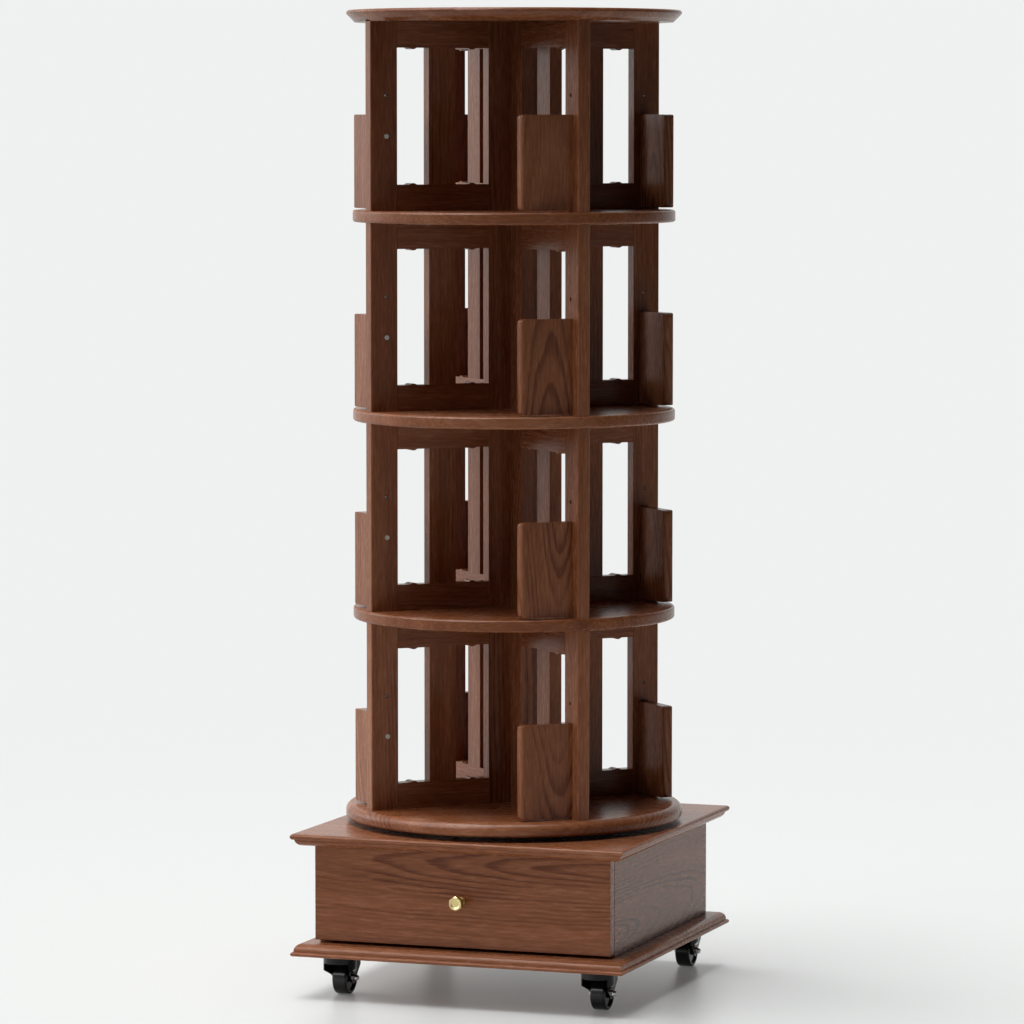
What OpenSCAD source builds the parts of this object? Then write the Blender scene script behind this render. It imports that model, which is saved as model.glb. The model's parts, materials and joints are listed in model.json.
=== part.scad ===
// Four-tier revolving bookcase. A round tower of slotted panel frames turns on a ball ring
// above a square drawer base, which stands on four swivel casters. Millimetres, +Z up. The
// origin is on the floor under the spin axis, and the drawer opens towards -Y.

/* [Tower] */
// Diameter of the three inner shelves
shelf_d = 488; // [440:1:560]
// Thickness of the three inner shelves
shelf_t = 18; // [16:0.5:24]
// Clear height between one shelf and the next
tier_clear = 282; // [250:1:340]
// How far the top disc stands out beyond the inner shelves
top_overhang = 9; // [4:0.5:20]
// Thickness of the top disc
top_t = 18; // [16:0.5:24]
// Height of the upright lip above the bevel of the top disc
top_lip = 5.5; // [4:0.5:8]
// Width of the bevel under the top disc
top_bevel = 12.5; // [6:0.5:16]
// Radius of the edges of the inner shelves and of the top disc's upper edge
shelf_edge_r = 4; // [2:0.5:7]
// How far the bottom disc stands out beyond the inner shelves
bottom_overhang = 12; // [6:0.5:20]
// Thickness of the bottom disc
bottom_t = 21; // [18:0.5:28]
// Radius of the upper edge of the bottom disc
bottom_edge_r = 12; // [5:0.5:13]

/* [Panel frames] */
// Thickness of the frames
frame_t = 20; // [16:0.5:24]
// How far the ends of the frames stay inside the shelf edge
frame_setback = 3; // [2:0.5:10]
// Width of the outer stiles
stile_w = 43.5; // [38:0.5:50]
// Width of the middle stile of the frame that runs right across
centre_stile_w = 94; // [84:1:110]
// Width of the bar between the two slots
mullion_w = 44; // [34:0.5:52]
// Width of the outer slot
slot_w = 52; // [40:0.5:60]
// Height of the top and bottom rails
rail_h = 39; // [30:0.5:55]
// Width of the small nub in the middle of each slot end
nub_w = 12; // [8:0.5:16]
// Height of that nub
nub_h = 2.3; // [1:0.1:4]
// Bevel on the upright outer edges of the frames
frame_bevel = 1.2; // [0.5:0.1:3]

/* [Book stops] */
// Thickness of the stop plates
stop_t = 16.5; // [14:0.5:20]
// How far a stop plate stands out from its frame
stop_w = 84.5; // [60:0.5:100]
// Height of the stop plates
stop_h = 143.5; // [125:0.5:180]
// Gap between a stop plate and the shelf under it
stop_lift = 3; // [1:0.5:6]
// From the end of the frame to the outer face of the stop plate
stop_setback = 17; // [13:0.5:20]
// Radius of the two outer corners of the stop plates
stop_corner_r = 9; // [4:0.5:20]
// Radius of the upright outer edges of the stop plates
stop_edge_r = 5; // [2:0.5:6.5]
// Height of the stop screw above the shelf
stop_screw_z = 111; // [95:1:115]
// From one hole of the stop's row to the next
stop_hole_step = 61; // [50:1:70]
// Diameter of the spare stop hole
stop_hole_d = 5.6; // [5:0.1:7]

/* [Base] */
// Height of the casters
caster_h = 65; // [58:0.5:80]
// Thickness of the plinth board
plinth_t = 18.5; // [18:0.5:30]
// Height of the drawer case between plinth and top board
case_h = 148.5; // [125:0.5:200]
// Thickness of the top board
top_board_t = 18; // [16:0.5:24]
// How far the base boards stand out beyond the bottom disc
board_margin = 6.5; // [2:0.5:20]
// From the edge of the base boards back to the case
case_setback = 29; // [26:0.5:40]
// Thickness of the sides and back of the case
case_t = 18; // [16:0.5:22]

/* [Mouldings] */
// Height of the rounded nose of the plinth moulding
plinth_lip = 6.5; // [4:0.5:9]
// Depth of the whole plinth moulding
plinth_moulding = 12.5; // [10:0.5:18]
// Height of the rounded nose of the top moulding
board_lip = 9; // [6:0.5:11]
// Depth of the whole top moulding
board_moulding = 13; // [10:0.5:16]
// Depth of the quirk between the nose and the roll
quirk = 0.8; // [0.5:0.1:3]
// Radius of the roll
roll_r = 11; // [10:0.5:24]

/* [Turntable] */
// Height of the whole ball ring
turntable_h = 8; // [7:0.5:12]
// Outer diameter of the ball ring
ring_d = 300; // [240:1:360]
// Width of the two rings together
ring_w = 32; // [28:0.5:44]
// Width of the wall outside the balls
ring_wall = 6.5; // [5:0.5:9]
// Thickness of the flat part of the lower ring
ring_flange_t = 2.2; // [2:0.1:2.6]
// Diameter of the balls
ball_d = 5; // [4:0.1:5]
// Number of balls
ball_count = 24; // [12:1:30]
// Screws in each ring
ring_screw_count = 6; // [4:1:8]

/* [Drawer] */
// Thickness of the drawer front
front_t = 20; // [16:0.5:24]
// Gap between the drawer front and the plinth board
front_gap_low = 4.5; // [1.5:0.5:6]
// Gap between the drawer front and the top board
front_gap_high = 1; // [0.5:0.5:4]
// Gap between the drawer front and the edges of the case
front_gap_back = 1; // [0.5:0.5:3]
// Depth of the drawer box
drawer_l = 380; // [360:1:400]
// Height of the drawer box
drawer_h = 100; // [80:1:108]
// From the plinth board up to the drawer box
drawer_lift = 16.5; // [6:0.5:20]
// Thickness of the drawer's sides, back and inner front
drawer_t = 12; // [10:0.5:15]
// Thickness of the drawer bottom
drawer_floor_t = 6; // [4:0.5:9]
// From the lower edge of the drawer sides up to the bottom
drawer_floor_z = 8; // [5:0.5:14]
// Depth of the grooves that hold the drawer bottom
groove_depth = 6; // [3:0.5:7]

/* [Drawer runners] */
// Length of the three-part ball runners
runner_l = 350; // [300:1:380]
// Width of a runner, which is the gap beside the drawer
runner_w = 12.7; // [12.7:0.1:14]
// Height of a runner
runner_h = 45.6; // [42:0.1:52]
// Thickness of the runner steel
runner_steel = 1.2; // [1:0.1:1.3]
// Diameter of the balls between case part and middle part
outer_ball_d = 3.4; // [3:0.1:3.8]
// Diameter of the balls between middle part and drawer part
inner_ball_d = 3; // [2.6:0.1:3.4]
// Length of a ball strip
strip_l = 90; // [60:1:110]
// Balls in each strip
strip_balls = 6; // [3:1:8]

/* [Knob] */
// Size of the six-sided knob across its corners
knob_d = 22; // [18:0.5:30]
// How far the knob stands out from the drawer front
knob_l = 26; // [20:0.5:28]
// Thickness of the six-sided head
knob_head_t = 10; // [8:0.5:14]
// Diameter of the knob's neck
knob_neck_d = 10; // [8:0.5:14]
// Diameter of the foot of the neck
knob_foot_d = 14; // [12:0.5:18]

/* [Casters] */
// From the edge of the plinth board to the caster's swivel axis
caster_inset = 57.5; // [54:0.5:80]
// Side of the square caster plate
plate_w = 46; // [44:0.5:60]
// Thickness of the caster plate
plate_t = 2.5; // [2:0.1:3]
// From one caster screw to the next
plate_pitch = 34; // [33:0.5:36]
// Diameter of the wheel
wheel_d = 50; // [40:0.5:52]
// Width of the wheel
wheel_w = 23; // [14:0.5:26]
// From the swivel axis to the wheel axis
trail = 20; // [12:0.5:24]
// Diameter of the caster axle
axle_d = 6; // [5:0.5:8]
// Thickness of the fork's sheet
fork_t = 2; // [1.5:0.1:2.5]
// Diameter of the fork's round head
head_d = 50; // [46:0.5:56]
// Height of the band round the head, above the open front
head_band = 9.5; // [7:0.5:12]
// Width of the open front
head_open = 39.5; // [34:0.5:42]
// How far the round head reaches down before it closes in on the wheel
head_h = 18; // [14:0.5:19]

/* [Fastenings] */
// Shank diameter of the long countersunk case screws
case_screw_d = 4; // [3.5:0.5:5]
// Length of the case screws
case_screw_l = 38; // [32:1:50]
// Shank diameter of the short screws
short_screw_d = 3.6; // [3:0.1:4]
// Length of the short screws
short_screw_l = 12; // [10:0.5:14]
// Shank diameter of the stop screws
stop_screw_d = 4; // [3.5:0.1:5]
// Length of the stop screws
stop_screw_l = 50; // [40:1:70]
// Head diameter of the stop screws
stop_head_d = 7; // [6.5:0.5:12]
// Diameter of the wooden dowels
dowel_d = 8; // [6:0.5:8]
// How deep a dowel goes into the end of a stile
dowel_bite = 20; // [14:0.5:24]

/* [Fits] */
// Clearance round screws, dowels and pins, on the radius
fit = 0.08; // [0.05:0.01:0.1]
// Hairline joint between glued frame members
joint_gap = 0.1; // [0.05:0.01:0.3]
// Gap between parts that slide or turn past each other
run_gap = 0.4; // [0.3:0.05:0.6]
// Gap on each side of a runner ball
ball_gap = 0.15; // [0.1:0.01:0.2]

/* [Hidden] */
$fn = 64;
eps = 0.01;
TIERS = [1, 2, 3, 4];
// Angles of the two half frames and of the two wings of the through frame
HALF_FRAMES = [["front", 315], ["back", 135]];
THROUGH_ANGLE = 45;
// Name of each caster, with its side in X and in Y
CORNERS = [
    ["front_left", -1, -1],
    ["front_right", 1, -1],
    ["back_left", -1, 1],
    ["back_right", 1, 1]
];
SHELF_NAMES = ["shelf_lower", "shelf_middle", "shelf_upper"];

// Heights above the floor, from the casters up
plinth_z = caster_h;
case_z = plinth_z + plinth_t;
top_board_z = case_z + case_h;
turntable_z = top_board_z + top_board_t;
bottom_disc_z = turntable_z + turntable_h;
tower_z = bottom_disc_z + bottom_t;
tier_pitch = tier_clear + shelf_t;
function tier_z(tier) = tower_z + (tier - 1) * tier_pitch;
top_disc_z = tier_z(len(TIERS)) + tier_clear;

// Plan sizes of the tower
shelf_r = shelf_d / 2;
top_r = shelf_r + top_overhang;
bottom_r = shelf_r + bottom_overhang;
frame_reach = shelf_r - frame_setback;
stile_x = frame_reach - stile_w;
mullion_x = stile_x - slot_w - mullion_w;
centre_half = centre_stile_w / 2;
stile_mid = frame_reach - stile_w / 2;
stop_x = frame_reach - stop_setback - stop_t;
stop_line = stop_x + stop_t / 2;
spare_hole_z = stop_screw_z + stop_hole_step;
stop_dowel_z = stop_screw_z - stop_hole_step;

// Places of the dowels along the frames
through_dowel_x = centre_half * 2 / 3;
half_dowel_x = (frame_t / 2 + centre_half) / 2;

// Plan sizes of the base
board_half = bottom_r + board_margin;
case_half = board_half - case_setback;
case_inner = case_half - case_t;
front_y = -case_half;
front_back_y = front_y + front_t;
case_front_y = front_back_y + front_gap_back;
case_back_y = case_half - case_t;

// Drawer box
drawer_z = case_z + drawer_lift;
drawer_half = case_inner - runner_w;
drawer_inner = drawer_half - drawer_t;
drawer_back_y = front_back_y + drawer_l;
floor_z = drawer_z + drawer_floor_z;
knob_z = (case_z + top_board_z) / 2;
front_screw_x = drawer_inner * 0.65;
front_screw_dz = drawer_h / 4;

// Runner sections, measured from the case side towards the drawer
runner_z = drawer_z + drawer_h / 2;
runner_y = case_front_y + 4;
middle_u = runner_steel + 1.8;
lip_u = runner_w - runner_steel - 0.5;
drawer_lip_u = middle_u + runner_steel + 1;
outer_drop = runner_steel + outer_ball_d + 2 * ball_gap;
inner_drop = runner_steel + inner_ball_d + 2 * ball_gap;
middle_h = runner_h - 2 * outer_drop;
drawer_part_h = middle_h - 2 * inner_drop;
ball_u = (drawer_lip_u + lip_u) / 2;
strip_t = 0.8;
strip_y = -30;
runner_screw_end = 24;
runner_screw_y = [
    runner_y + runner_screw_end,
    runner_y + runner_l / 2,
    runner_y + runner_l - runner_screw_end
];

// Ball ring
ring_r = ring_d / 2;
ring_bore_r = ring_r - ring_w;
wall_r = ring_r - ring_wall;
ball_r = ball_d / 2;
groove_r = ball_r + 0.3;
ball_ring_r = wall_r - 2;
upper_r = ball_ring_r - 2;
upper_z = ring_flange_t + run_gap;
ball_z = ring_flange_t + ball_r + 0.2;
cage_t = 1;
ring_screw_r = (ring_bore_r + upper_r) / 2;

// Casters
swivel_xy = board_half - caster_inset;
wheel_r = wheel_d / 2;
plate_z = plinth_z - plate_t;
short_head_t = 2;
crown_z = plate_z - short_head_t - 0.5;
kingpin_d = 10;
head_r = head_d / 2;
cheek_in = wheel_w / 2 + 1.3;
cheek_out = cheek_in + fork_t;
hood_back = trail + wheel_r + 1;
hood_drop = 9;
axle_boss_r = 9;
axle_head_t = 3.5;
nut_t = 5;

// Screw heads
case_head_d = case_screw_d * 2;
case_head_t = case_screw_d * 0.6;
short_head_d = short_screw_d * 1.75;
sunk_head_t = 1.6;
runner_head_t = 1.1;
stop_head_t = 2.4;

CASTER_PARTS = ["caster_fork_", "caster_wheel_", "caster_axle_"];

WALNUT = [0.36, 0.21, 0.14];
WALNUT_LIGHT = [0.45, 0.28, 0.19];
PLY = [0.78, 0.66, 0.48];
ZINC = [0.72, 0.73, 0.75];
BLACK = [0.06, 0.06, 0.07];

// A profile drawn in X and Z, extruded from y0 to y1
module along_y(y0, y1) {
    translate([0, y1, 0]) rotate([90, 0, 0]) linear_extrude(y1 - y0) children();
}

// A profile drawn in Y and Z, extruded from x0 to x1
module along_x(x0, x1) {
    translate([x0, 0, 0]) rotate([90, 0, 90]) linear_extrude(x1 - x0) children();
}

module block(low, high) {
    translate(low) cube(high - low);
}

// Countersunk screw with its head's face at z = 0, pointing to -Z
module sunk_screw(d, l, head_d, head_t, extra = 0) {
    translate([0, 0, -l - extra]) cylinder(d = d + 2 * extra, h = l + extra + eps);
    translate([0, 0, -head_t]) cylinder(d1 = d + 2 * extra, d2 = head_d + 2 * extra, h = head_t);
    if (extra > 0) cylinder(d = head_d + 2 * extra, h = 1);
}

// Screw with a round flat head above z = 0, pointing to -Z
module flat_head_screw(d, l, head_d, head_t) {
    translate([0, 0, -l]) cylinder(d = d, h = l + eps);
    difference() {
        cylinder(d = head_d, h = head_t);
        translate([0, 0, head_t / 2]) cross_slot(head_d * 0.55, 0.8, head_t);
    }
}

module cross_slot(l, w, h) {
    for (a = [0, 90]) rotate(a) translate([-l / 2, -w / 2, 0]) cube([l, w, h]);
}

// Blind or through hole for a screw or dowel, from z = 0 down, with its mouth kept open
module hole(d, depth) {
    translate([0, 0, -depth]) cylinder(d = d + 2 * fit, h = depth + 1);
}

/* Tower */

// Disc with rounded upper and lower edges
module rounded_disc(r, t, upper_r, lower_r) {
    rotate_extrude($fn = 128) {
        square([r - upper_r, t]);
        translate([0, lower_r]) square([r, t - upper_r - lower_r]);
        square([r - lower_r, t - upper_r]);
        translate([r - upper_r, t - upper_r]) intersection() {
            circle(r = upper_r);
            square(upper_r + 1);
        }
        translate([r - lower_r, lower_r]) mirror([0, 1]) intersection() {
            circle(r = lower_r);
            square(lower_r + 1);
        }
    }
}

// Plan places of the dowels that pin the frames to the discs
module at_dowels() {
    for (a = [0, 90, 180, 270]) rotate(THROUGH_ANGLE + a) {
        translate([stile_mid, 0, 0]) children();
        translate([a % 180 == 0 ? through_dowel_x : half_dowel_x, 0, 0]) children();
    }
}

dowel_depth_bottom = bottom_t * 0.6;
dowel_depth_top = top_t * 0.55;

module shelf(index) {
    z = tier_z(index + 1) - shelf_t;
    color(WALNUT) difference() {
        translate([0, 0, z]) rounded_disc(shelf_r, shelf_t, shelf_edge_r, shelf_edge_r);
        translate([0, 0, z + shelf_t]) at_dowels() hole(dowel_d, shelf_t + 1);
    }
}

module bottom_disc() {
    color(WALNUT) difference() {
        translate([0, 0, bottom_disc_z]) rounded_disc(bottom_r, bottom_t, bottom_edge_r, shelf_edge_r);
        translate([0, 0, tower_z]) at_dowels() hole(dowel_d, dowel_depth_bottom);
        translate([0, 0, bottom_disc_z]) at_upper_ring_screws() rotate([180, 0, 0])
            hole(short_screw_d, short_screw_l);
    }
}

module top_disc() {
    color(WALNUT) translate([0, 0, top_disc_z]) difference() {
        rotate_extrude($fn = 128) {
            polygon([
                [0, 0],
                [top_r - top_bevel, 0],
                [top_r, top_t - top_lip],
                [top_r, top_t - shelf_edge_r],
                [top_r - shelf_edge_r, top_t - shelf_edge_r],
                [top_r - shelf_edge_r, top_t],
                [0, top_t]
            ]);
            translate([top_r - shelf_edge_r, top_t - shelf_edge_r]) intersection() {
                circle(r = shelf_edge_r);
                square(shelf_edge_r + 1);
            }
        }
        at_dowels() translate([0, 0, dowel_depth_top]) hole(dowel_d, dowel_depth_top + 1);
    }
}

module tier_dowels() {
    color(PLY) at_dowels() {
        translate([0, 0, tower_z - dowel_depth_bottom + 0.5])
            cylinder(d = dowel_d, h = dowel_depth_bottom + dowel_bite - 1);
        for (t = [2 : len(TIERS)]) translate([0, 0, tier_z(t) - shelf_t - dowel_bite + 0.5])
            cylinder(d = dowel_d, h = shelf_t + 2 * dowel_bite - 1);
        translate([0, 0, top_disc_z - dowel_bite + 0.5])
            cylinder(d = dowel_d, h = dowel_bite + dowel_depth_top - 1);
    }
}

// Holes in the two ends of a stile for the dowels at x
module stile_dowel_holes(x) {
    translate([x, 0, dowel_bite]) hole(dowel_d, dowel_bite + 1);
    translate([x, 0, tier_clear]) hole(dowel_d, dowel_bite);
}

module outer_stile() {
    h = frame_t / 2;
    difference() {
        linear_extrude(tier_clear) polygon([
            [stile_x, -h],
            [frame_reach - frame_bevel, -h],
            [frame_reach, -h + frame_bevel],
            [frame_reach, h - frame_bevel],
            [frame_reach - frame_bevel, h],
            [stile_x, h]
        ]);
        stile_dowel_holes(stile_mid);
        translate([stop_line, h, stop_screw_z]) rotate([-90, 0, 0]) hole(stop_screw_d, frame_t + 1);
        translate([stop_line, h, spare_hole_z]) rotate([-90, 0, 0]) hole(stop_hole_d, frame_t + 1);
        translate([stop_line, -h, stop_dowel_z]) rotate([90, 0, 0]) hole(dowel_d, frame_t * 0.6);
    }
}

// Rail outline in X and Z, with a nub under the middle of each slot
module rail_outline() {
    x0 = centre_half + joint_gap;
    r = (nub_w * nub_w / 4 + nub_h * nub_h) / (2 * nub_h);
    translate([x0, 0]) square([stile_x - joint_gap - x0, rail_h]);
    for (x = [(centre_half + mullion_x) / 2, stile_x - slot_w / 2])
        translate([x, rail_h + nub_h - r]) circle(r = r);
}

// One wing of a frame, along +X: outer stile, two rails and the bar between the slots
module frame_wing() {
    h = frame_t / 2;
    outer_stile();
    along_y(-h, h) rail_outline();
    translate([0, 0, tier_clear]) mirror([0, 0, 1]) along_y(-h, h) rail_outline();
    block([mullion_x, -h, rail_h + joint_gap], [mullion_x + mullion_w, h, tier_clear - rail_h - joint_gap]);
}

module half_frame(tier, angle) {
    h = frame_t / 2;
    color(WALNUT) translate([0, 0, tier_z(tier)]) rotate(angle) {
        frame_wing();
        difference() {
            block([h, -h, 0], [centre_half, h, tier_clear]);
            stile_dowel_holes(half_dowel_x);
        }
    }
}

module through_frame(tier) {
    h = frame_t / 2;
    color(WALNUT) translate([0, 0, tier_z(tier)]) rotate(THROUGH_ANGLE) {
        for (a = [0, 180]) rotate(a) frame_wing();
        difference() {
            block([-centre_half, -h, 0], [centre_half, h, tier_clear]);
            for (a = [0, 180]) rotate(a) stile_dowel_holes(through_dowel_x);
        }
    }
}

// One stop plate on the clockwise side of the frame wing along +X
module book_stop() {
    free_y = -frame_t / 2 - stop_w;
    difference() {
        intersection() {
            along_x(stop_x, stop_x + stop_t) {
                translate([free_y, stop_lift + stop_corner_r])
                    square([stop_w, stop_h - stop_lift - 2 * stop_corner_r]);
                translate([free_y + stop_corner_r, stop_lift])
                    square([stop_w - stop_corner_r, stop_h - stop_lift]);
                for (z = [stop_lift + stop_corner_r, stop_h - stop_corner_r])
                    translate([free_y + stop_corner_r, z]) circle(r = stop_corner_r);
            }
            linear_extrude(stop_h + 1) {
                translate([stop_x, free_y + stop_edge_r]) square([stop_t, stop_w - stop_edge_r]);
                translate([stop_x + stop_edge_r, free_y]) square([stop_t - 2 * stop_edge_r, stop_w]);
                for (x = [stop_x + stop_edge_r, stop_x + stop_t - stop_edge_r])
                    translate([x, free_y + stop_edge_r]) circle(r = stop_edge_r);
            }
        }
        translate([stop_line, -frame_t / 2, stop_screw_z]) rotate([-90, 0, 0])
            hole(stop_screw_d, stop_screw_l - frame_t + 1);
        translate([stop_line, -frame_t / 2, stop_dowel_z]) rotate([-90, 0, 0])
            hole(dowel_d, frame_t);
    }
}

module book_stops(tier) {
    color(WALNUT_LIGHT) translate([0, 0, tier_z(tier)])
        for (a = [0, 90, 180, 270]) rotate(THROUGH_ANGLE + a) book_stop();
}

// Screw and dowel of every stop
module stop_screws() {
    for (t = TIERS) for (a = [0, 90, 180, 270]) translate([0, 0, tier_z(t)]) rotate(THROUGH_ANGLE + a) {
        color(ZINC) translate([stop_line, frame_t / 2, stop_screw_z]) rotate([-90, 0, 0])
            flat_head_screw(stop_screw_d, stop_screw_l, stop_head_d, stop_head_t);
        color(PLY) translate([stop_line, frame_t * 0.1 - 0.5, stop_dowel_z]) rotate([90, 0, 0])
            cylinder(d = dowel_d, h = frame_t * 1.6 - 1);
    }
}

/* Turntable */

module at_ring_screws(turn) {
    for (i = [0 : ring_screw_count - 1]) rotate(turn + i * 360 / ring_screw_count)
        translate([ring_screw_r, 0, 0]) children();
}

module at_lower_ring_screws() {
    at_ring_screws(0) children();
}

module at_upper_ring_screws() {
    at_ring_screws(180 / ring_screw_count) children();
}

module ball_groove() {
    translate([ball_ring_r, ball_z]) circle(r = groove_r);
}

module turntable_lower_ring() {
    color(ZINC) translate([0, 0, turntable_z]) difference() {
        rotate_extrude($fn = 128) difference() {
            union() {
                translate([ring_bore_r, 0]) square([ring_w, ring_flange_t]);
                translate([wall_r, 0]) square([ring_wall, turntable_h - run_gap]);
            }
            ball_groove();
        }
        translate([0, 0, ring_flange_t - 0.1]) at_lower_ring_screws()
            sunk_screw(short_screw_d, short_screw_l, short_head_d, sunk_head_t, fit);
    }
}

module turntable_upper_ring() {
    color(ZINC) translate([0, 0, turntable_z]) difference() {
        rotate_extrude($fn = 128) difference() {
            translate([ring_bore_r, upper_z]) square([upper_r - ring_bore_r, turntable_h - upper_z]);
            ball_groove();
        }
        translate([0, 0, upper_z + 0.1]) at_upper_ring_screws() rotate([180, 0, 0])
            sunk_screw(short_screw_d, short_screw_l + turntable_h, short_head_d, sunk_head_t, fit);
    }
}

// Balls in a thin cage, which turns at half the tower's speed
module turntable_balls() {
    color(ZINC) translate([0, 0, turntable_z]) {
        for (i = [0 : ball_count - 1]) rotate(i * 360 / ball_count)
            translate([ball_ring_r, 0, ball_z]) sphere(d = ball_d);
        difference() {
            rotate_extrude($fn = 128) translate([ball_ring_r - cage_t / 2, ball_z - ball_r * 0.7])
                square([cage_t, ball_r * 1.4]);
            for (i = [0 : ball_count - 1]) rotate(i * 360 / ball_count)
                translate([ball_ring_r - cage_t, 0, ball_z]) rotate([0, 90, 0])
                    cylinder(d = ball_d + 0.2, h = 2 * cage_t);
        }
    }
}

module turntable_upper_screws() {
    color(ZINC) translate([0, 0, turntable_z + upper_z + 0.1]) at_upper_ring_screws() rotate([180, 0, 0])
        sunk_screw(short_screw_d, short_screw_l + turntable_h - upper_z - 1, short_head_d, sunk_head_t);
}

/* Base */

// Outline of a board with its moulding on both ends: a rounded nose at the bottom, then a
// quirk and a roll up to the flat
module moulded_outline(half, t, lip, depth) {
    foot = half - lip / 2 - quirk;
    roll_in = foot - (half - depth);
    roll_h = t - lip;
    chord = sqrt(roll_in * roll_in + roll_h * roll_h);
    r = max(roll_r, chord * 0.55);
    drop = sqrt(r * r - chord * chord / 4);
    mid = [foot - roll_in / 2, lip + roll_h / 2];
    centre = mid - drop * [roll_h, roll_in] / chord;
    for (side = [0, 1]) mirror([side, 0]) {
        square([half - lip / 2, lip]);
        translate([half - lip / 2, lip / 2]) circle(d = lip);
        square([half - depth, t]);
        intersection() {
            translate(centre) circle(r = r);
            translate([0, lip - eps]) square([foot, roll_h + eps]);
        }
    }
}

// Square board with the moulding run and mitred round all four sides
module moulded_board(t, lip, depth) {
    intersection() {
        along_x(-board_half, board_half) moulded_outline(board_half, t, lip, depth);
        along_y(-board_half, board_half) moulded_outline(board_half, t, lip, depth);
    }
}

// Places of the long screws through the plinth board, up into sides and back
module at_plinth_screws() {
    for (x = [-1, 1], y = [-1, 0, 1]) translate([x * (case_half - case_t / 2), y * case_half * 0.64, 0])
        children();
    for (x = [-1, 1]) translate([x * case_half * 0.5, case_half - case_t / 2, 0]) children();
}

// Places of the long screws through the top board, down into sides and back
module at_top_screws() {
    for (x = [-1, 1], y = [-1, 1]) translate([x * (case_half - case_t / 2), y * case_half * 0.38, 0])
        children();
    for (x = [-1, 1]) translate([x * case_half * 0.38, case_half - case_t / 2, 0]) children();
}

module plinth_board() {
    color(WALNUT) difference() {
        translate([0, 0, plinth_z]) moulded_board(plinth_t, plinth_lip, plinth_moulding);
        translate([0, 0, plinth_z]) at_plinth_screws() rotate([180, 0, 0])
            sunk_screw(case_screw_d, case_screw_l, case_head_d, case_head_t, fit);
        translate([0, 0, plinth_z]) at_caster_screws() rotate([180, 0, 0])
            hole(short_screw_d, short_screw_l);
    }
}

module top_board() {
    color(WALNUT) difference() {
        translate([0, 0, turntable_z]) mirror([0, 0, 1])
            moulded_board(top_board_t, board_lip, board_moulding);
        translate([0, 0, turntable_z]) at_top_screws()
            sunk_screw(case_screw_d, case_screw_l, case_head_d, case_head_t, fit);
        translate([0, 0, turntable_z]) at_lower_ring_screws() hole(short_screw_d, short_screw_l);
    }
}

// The screws' holes in the sides and back, from below and from above
module case_screw_holes() {
    translate([0, 0, plinth_z]) at_plinth_screws() rotate([180, 0, 0]) hole(case_screw_d, case_screw_l + 1);
    translate([0, 0, turntable_z]) at_top_screws() hole(case_screw_d, case_screw_l + 1);
}

module case_side(side) {
    color(WALNUT) difference() {
        mirror([side < 0 ? 1 : 0, 0, 0])
            block([case_inner, case_front_y, case_z], [case_half, case_half, top_board_z]);
        case_screw_holes();
        at_runner(side) for (y = runner_screw_y) translate([0, y, 0]) rotate([0, 90, 0])
            hole(short_screw_d, short_screw_l);
    }
}

module case_back() {
    color(WALNUT) difference() {
        block([-case_inner, case_back_y, case_z], [case_inner, case_half, top_board_z]);
        case_screw_holes();
    }
}

module case_screws() {
    color(ZINC) {
        translate([0, 0, plinth_z]) at_plinth_screws() rotate([180, 0, 0])
            sunk_screw(case_screw_d, case_screw_l, case_head_d, case_head_t);
        translate([0, 0, turntable_z]) at_top_screws()
            sunk_screw(case_screw_d, case_screw_l, case_head_d, case_head_t);
    }
}

/* Drawer */

module floor_groove() {
    block(
        [-drawer_inner - groove_depth, front_back_y + drawer_t - groove_depth, floor_z - joint_gap],
        [drawer_inner + groove_depth, drawer_back_y + 1, floor_z + drawer_floor_t + joint_gap]
    );
}

module at_front_screws() {
    for (x = [-1, 1], z = [-1, 1])
        translate([x * front_screw_x, 0, drawer_z + drawer_h / 2 + z * front_screw_dz]) children();
}

module drawer_front() {
    low = case_z + front_gap_low;
    high = top_board_z - front_gap_high;
    color(WALNUT_LIGHT) difference() {
        block([-case_half, front_y, low], [case_half, front_back_y, high]);
        translate([0, front_back_y, 0]) at_front_screws() rotate([-90, 0, 0])
            hole(short_screw_d, short_screw_l);
        translate([0, front_back_y + eps, knob_z]) rotate([-90, 0, 0]) hole(case_screw_d, front_t + 1);
    }
}

module drawer_inner_front() {
    color(PLY) difference() {
        block([-drawer_inner + joint_gap, front_back_y, drawer_z],
            [drawer_inner - joint_gap, front_back_y + drawer_t, drawer_z + drawer_h]);
        floor_groove();
        translate([0, front_back_y + drawer_t, 0]) at_front_screws() rotate([-90, 0, 0])
            hole(short_screw_d, drawer_t + 1);
        translate([0, front_back_y + drawer_t, knob_z]) rotate([-90, 0, 0]) hole(case_screw_d, drawer_t + 1);
    }
}

module drawer_side(side) {
    color(PLY) difference() {
        mirror([side < 0 ? 1 : 0, 0, 0])
            block([drawer_inner, front_back_y, drawer_z], [drawer_half, drawer_back_y, drawer_z + drawer_h]);
        floor_groove();
        at_runner(side) translate([runner_w, 0, 0]) for (y = runner_screw_y) translate([0, y, 0])
            rotate([0, -90, 0]) hole(short_screw_d, drawer_t - 1.5);
    }
}

module drawer_back() {
    color(PLY) block(
        [-drawer_inner + joint_gap, drawer_back_y - drawer_t, floor_z + drawer_floor_t + joint_gap],
        [drawer_inner - joint_gap, drawer_back_y, drawer_z + drawer_h]
    );
}

module drawer_bottom() {
    slack = 0.5;
    color(PLY) block(
        [-drawer_inner - groove_depth + slack, front_back_y + drawer_t - groove_depth + slack, floor_z],
        [drawer_inner + groove_depth - slack, drawer_back_y, floor_z + drawer_floor_t]
    );
}

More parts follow.
